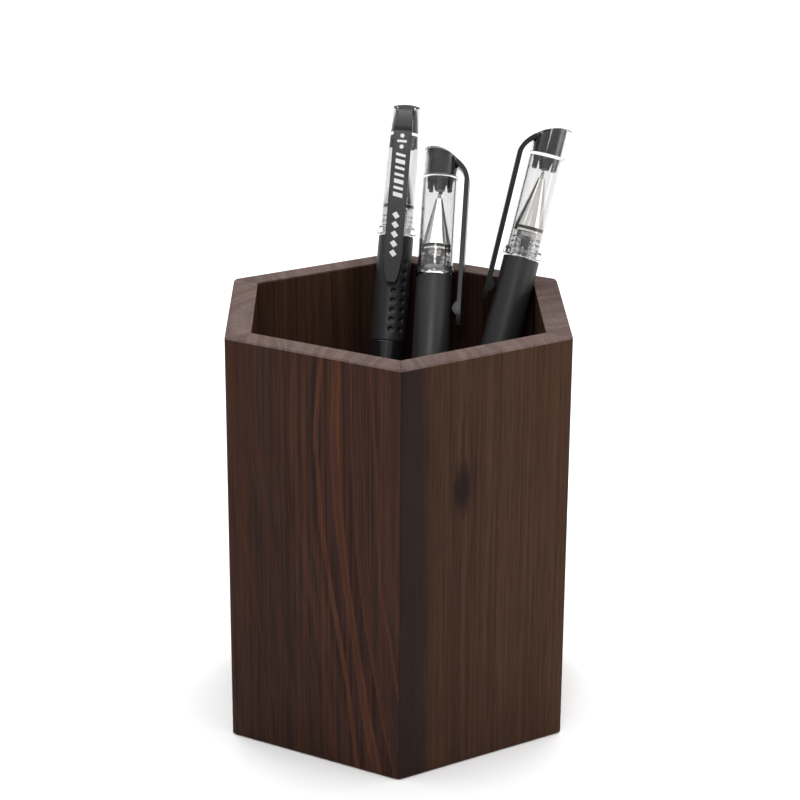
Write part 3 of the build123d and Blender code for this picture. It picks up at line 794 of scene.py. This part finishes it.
stand_in_pens(domed(tube), "clear_tube", "cap_tube", "cap", clear,
              sides=("left",))
stand_in_pens(tube, "clear_tube", "cap_tube", "cap", clear,
              sides=("middle", "right"))

# ---------------------------------------------------------------- Tip seals
# A black liner under the web: a disc with a boss that closes over the ball, and six
# fingers that centre the cone in the cap.

SEAL_R, SEAL_FOOT, SEAL_SEGMENTS, DISC_FOOT = 3.40, 137.8, 36, WEB_FOOT - 0.8
BOSS_R, BOSS_END_R, FINGERS_FROM_R, FINGERS_TO_R = 1.8, 1.26, 2.50, 3.30
seal = turned("seal", [(0, SEAL_FOOT), (BOSS_END_R, SEAL_FOOT), (BOSS_R, DISC_FOOT),
                       (FINGERS_FROM_R, DISC_FOOT), (FINGERS_TO_R, DISC_FOOT),
                       (SEAL_R, DISC_FOOT), (SEAL_R, WEB_FOOT), (0, WEB_FOOT)],
              segments=SEAL_SEGMENTS)
pick_no_faces()
for face in seal.data.polygons:
    middle = face.center
    under = abs(middle.z - DISC_FOOT) < 0.01
    in_band = FINGERS_FROM_R < middle.xy.length < FINGERS_TO_R
    face.select = under and in_band and int(place_round(middle, SEAL_SEGMENTS) - 2) % 6 in (0, 1)
bpy.ops.object.mode_set(mode="EDIT")
bpy.ops.mesh.extrude_region_move(
    TRANSFORM_OT_translate={"value": (0, 0, SEAL_FOOT - DISC_FOOT)})
bpy.ops.mesh.select_mode(type="VERT")
bpy.ops.object.mode_set(mode="OBJECT")
eased(seal, 0.08)
liner, _ = plastic("liner_black", 34.0, (0.016, 0.016, 0.017), 0.35, 0.10, 0.000006, dust=0.1)
stand_in_pens(seal, "liner", "tip_seal", "cap", liner)

# ---------------------------------------------------------------- Clips
# One black moulding closes the cap: a plug in the clear tube, a strap over the tube's wall
# and a long sprung clip with a bump inside its pointed end.

SHOULDER, CLIP_FOOT, POINT_FROM, CLIP_REACH, CLIP_CLOSE = 140.8, 101.3, 107.3, 7.75, 0.25
BUMP_FROM, BUMP_LONG, BUMP_DEEP, BUMP_STEPS = 103.7, 4.0, 1.2, 8
STRAP_FROM = 0.6               # the strap starts this far in front of the pen's axis
CLOSE_AT_POINT = CLIP_CLOSE * 0.85
PLUG_IN_CAP_R = 3.45
outer = [point for point in crest if point.x > STRAP_FROM]
outer += [Vector((CLIP_REACH - CLOSE_AT_POINT, POINT_FROM)),
          Vector((CLIP_REACH - CLIP_CLOSE, CLIP_FOOT))]
bump_line = CLIP_REACH - CLIP_CLOSE - STRAP_DEPTH
inner = [Vector((bump_line, CLIP_FOOT))]
for step in range(BUMP_STEPS + 1):
    u = step / BUMP_STEPS
    inner.append(Vector((bump_line - BUMP_DEEP * sin(pi * u), BUMP_FROM + BUMP_LONG * u)))
under_crest = []
for before, point, after in zip(crest, crest[1:], crest[2:]):
    way = (after - before).normalized()
    under_crest.append(point + STRAP_DEPTH * Vector((way.y, -way.x)))
inner += [Vector((CLIP_REACH - STRAP_DEPTH, SHOULDER))]
inner += [point for point in reversed(under_crest)
          if point.x > STRAP_FROM and point.y > SHOULDER + 0.3]
outline = outer + inner

bpy.ops.object.select_all(action="DESELECT")
bpy.ops.mesh.primitive_circle_add(vertices=len(outline), radius=1, fill_type="NGON",
                                  location=(0, 0, 0))
arm = bpy.context.object
for point, place_at in zip(arm.data.vertices, outline):
    point.co = (place_at.x, -STRAP_HALF, place_at.y)
bpy.ops.object.mode_set(mode="EDIT")
bpy.ops.mesh.select_all(action="SELECT")
bpy.ops.mesh.extrude_region_move(TRANSFORM_OT_translate={"value": (0, 2 * STRAP_HALF, 0)})
for level in (POINT_FROM, POINT_FROM - 3.0, POINT_FROM - 4.6):
    bpy.ops.mesh.select_all(action="SELECT")
    bpy.ops.mesh.bisect(plane_co=(0, 0, level), plane_no=(0, 0, 1))
bpy.ops.object.mode_set(mode="OBJECT")
for point in arm.data.vertices:
    if point.co.z < POINT_FROM:
        along = (POINT_FROM - point.co.z) / (POINT_FROM - CLIP_FOOT)
        point.co.y *= 1 - 0.24 * along - 0.30 * along ** 4
use(arm)
tidy()
applied(arm, "BEVEL", width=0.34, segments=4, limit_method="ANGLE", angle_limit=radians(55))
bpy.ops.object.shade_smooth_by_angle(angle=radians(50))

plug = turned("plug", [(0, WEB_TOP + 0.02), (PLUG_IN_CAP_R, WEB_TOP + 0.02),
                       (PLUG_IN_CAP_R, PEN_TOP), (2.6, PEN_TOP), (1.7, PEN_TOP), (0.8, PEN_TOP),
                       (0, PEN_TOP)], segments=96)
for point in plug.data.vertices:
    if point.co.z > PEN_TOP - 0.01:
        point.co.z = crest_height(point.co.x) - CREST_GAP
applied(plug, "BEVEL", width=0.18, segments=3, limit_method="ANGLE", angle_limit=radians(50))
applied(arm, "BOOLEAN", operation="UNION", object=plug, solver="EXACT")
bpy.data.objects.remove(plug)
bpy.ops.object.shade_smooth_by_angle(angle=radians(40))
applied(arm, "WEIGHTED_NORMAL", keep_sharp=True)
clip_black, clip_shader = plastic("clip_black", 37.0, (0.012, 0.012, 0.013), 0.24, 0.10, 0.000004)
clip_shader["Specular IOR Level"].default_value = 0.24
stand_in_pens(domed(arm), "clip_moulding", "clip", "cap", clip_black,
              sides=("left",))
stand_in_pens(arm, "clip_moulding", "clip", "cap", clip_black,
              sides=("middle", "right"))

# ---------------------------------------------------------------- The print on the left clip
# White pad print along the clip: a bar between two dots, a row of bars and a row of
# lozenges, each a film of ink that follows the clip's face.

PRINT_UNDER, FILM = 0.10, 0.13          # how deep the film starts in the clip, and its depth
MARK_TALL = 2.5
BARS_FROM, BAR_PITCH, BAR_SLANT = 124.4, 1.75, 0.25
BAR_WIDTHS = (1.1, 0.7, 1.1, 0.7, 0.7, 1.1, 0.7)
LOZENGES, LOZENGES_FROM, LOZENGE_PITCH = 5, 109.0, 2.5
DOTS_AT, DOT_R, DASH_AT, DASH_HALF = (137.1, 140.0), 0.55, 138.55, 0.3


def film_mark(outline_points, along):
    """A flat mark, drawn as (along, across) points and thickened to a film of ink."""
    bpy.ops.object.select_all(action="DESELECT")
    bpy.ops.mesh.primitive_circle_add(vertices=len(outline_points), radius=1, fill_type="NGON",
                                      location=(0, 0, 0))
    mark = bpy.context.object
    for point, (up, sideways) in zip(mark.data.vertices, outline_points):
        point.co = (0, sideways, along + up)
    bpy.ops.object.mode_set(mode="EDIT")
    bpy.ops.mesh.select_all(action="SELECT")
    bpy.ops.mesh.extrude_region_move(TRANSFORM_OT_translate={"value": (FILM, 0, 0)})
    bpy.ops.object.mode_set(mode="OBJECT")
    use(mark)
    tidy()
    return mark


marks = []
half = MARK_TALL / 2
for bar, width in enumerate(BAR_WIDTHS):
    marks.append(film_mark([(-width / 2 - BAR_SLANT, half), (width / 2 - BAR_SLANT, half),
                            (width / 2 + BAR_SLANT, -half), (-width / 2 + BAR_SLANT, -half)],
                           BARS_FROM + BAR_PITCH * bar))
for lozenge in range(LOZENGES):
    marks.append(film_mark([(-1.0, 0), (-0.25, half * 0.8), (1.0, 0), (0.25, -half * 0.8)],
                           LOZENGES_FROM + LOZENGE_PITCH * lozenge))
for dot_at in DOTS_AT:
    marks.append(film_mark([(DOT_R * cos(radians(step)), DOT_R * sin(radians(step)))
                            for step in range(0, 360, 20)], dot_at))
marks.append(film_mark([(-DASH_HALF, half), (DASH_HALF, half), (DASH_HALF, -half),
                        (-DASH_HALF, -half)], DASH_AT))
for mark in marks:
    mark.select_set(True)
bpy.context.view_layer.objects.active = marks[0]
bpy.ops.object.join()
use(marks[0])
tidy(20)
for point in marks[0].data.vertices:
    share = (SHOULDER - point.co.z) / (SHOULDER - POINT_FROM)
    point.co.x += CLIP_REACH - CLOSE_AT_POINT * share - PRINT_UNDER
white_print, _ = plastic("white_print", 40.0, (0.78, 0.78, 0.76), 0.45, 0.10, 0.000004)
stand_in_pens(marks[0], "clip_print", "clip", "cap", white_print, sides=("left",),
              replaced=False)
